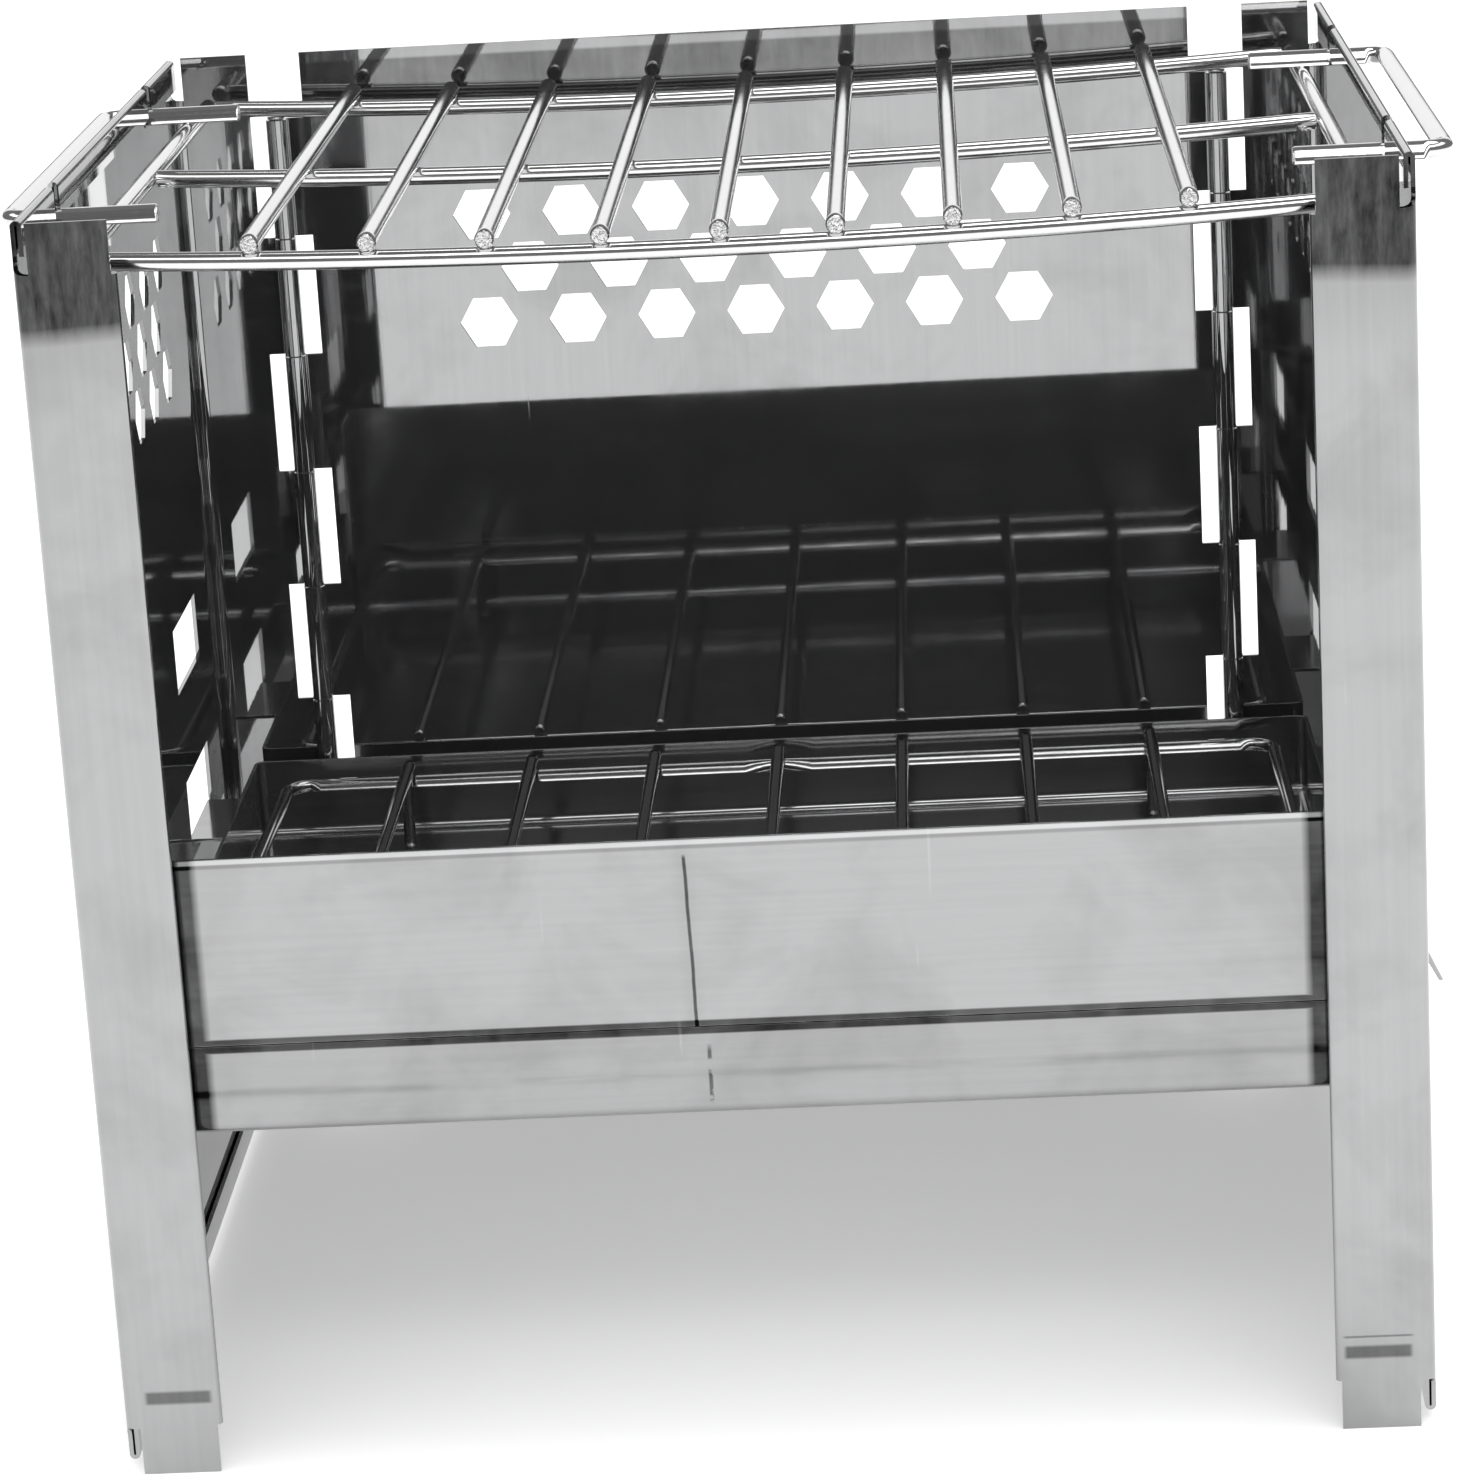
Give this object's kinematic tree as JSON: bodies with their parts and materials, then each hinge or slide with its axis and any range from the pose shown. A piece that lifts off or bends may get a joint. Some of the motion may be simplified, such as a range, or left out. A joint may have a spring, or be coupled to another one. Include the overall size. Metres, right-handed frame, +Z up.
{
  "type": "folding camp grill",
  "caption": "Small folding stainless charcoal grill: hinged three-panel frame, slotted tray, front plate, charcoal grate and lift-off wire cooking net with side handles.",
  "frame": {"origin": "middle of the footprint, on the ground under the feet (the net hangs 1 mm to the right of it)", "axes": "+X to the object's right as seen from the front, +Y from the open front to the back panel, +Z up"},
  "size_m": [0.2594, 0.192, 0.233],
  "materials": {
    "sheet_steel": "bright polished stainless sheet with fine rolling grain",
    "hinge_pin": "bright drawn stainless pin",
    "grate_wire": "drawn stainless wire, slightly darker, with weld marks",
    "net_wire": "bright drawn stainless wire with cut ends and weld marks"
  },
  "bodies": {
    "frame_back": {"back_panel": "sheet_steel", "left_hinge_pin": "hinge_pin", "right_hinge_pin": "hinge_pin"},
    "left_side": {"left_side_panel": "sheet_steel"},
    "right_side": {"right_side_panel": "sheet_steel"},
    "tray": {"charcoal_tray": "sheet_steel"},
    "plate": {"front_plate": "sheet_steel"},
    "grate": {"grate_frame": "grate_wire", "grate_wire_1": "grate_wire", "grate_wire_2": "grate_wire", "grate_wire_3": "grate_wire", "grate_wire_4": "grate_wire", "grate_wire_5": "grate_wire", "grate_wire_6": "grate_wire", "grate_wire_7": "grate_wire"},
    "net": {"net_front_rod": "net_wire", "net_middle_rod": "net_wire", "net_rear_rod": "net_wire", "net_left_rod": "net_wire", "net_right_rod": "net_wire", "net_left_handle": "net_wire", "net_right_handle": "net_wire", "net_cross_rod_1": "net_wire", "net_cross_rod_2": "net_wire", "net_cross_rod_3": "net_wire", "net_cross_rod_4": "net_wire", "net_cross_rod_5": "net_wire", "net_cross_rod_6": "net_wire", "net_cross_rod_7": "net_wire", "net_cross_rod_8": "net_wire", "net_cross_rod_9": "net_wire"}
  },
  "joints": [
    {"name": "left_hinge", "type": "hinge", "parent": "frame_back", "child": "left_side", "pos_m": [-0.0978, 0.0938, 0], "axis": [0, 0, -1], "range_deg": [0, 90]},
    {"name": "right_hinge", "type": "hinge", "parent": "frame_back", "child": "right_side", "pos_m": [0.0978, 0.0938, 0], "axis": [0, 0, 1], "range_deg": [0, 90]},
    {"name": "tray_lift", "type": "slide", "parent": "frame_back", "child": "tray", "axis": [0, 0, 1], "range_m": [0, 0.472]},
    {"name": "front_plate_lift", "type": "slide", "parent": "tray", "child": "plate", "axis": [0, 0, 1], "range_m": [0, 0.1]},
    {"name": "grate_lift", "type": "slide", "parent": "tray", "child": "grate", "axis": [0, 0, 1], "range_m": [0, 0.12]},
    {"name": "net_lift", "type": "slide", "parent": "tray", "child": "net", "axis": [0, 0, 1], "range_m": [0, 0.2]}
  ],
  "couplings": [
    {"joint": "right_hinge", "follows": "left_hinge", "ratio": 1},
    {"joint": "tray_lift", "follows": "left_hinge", "m_per_rad": 0.3}
  ]
}
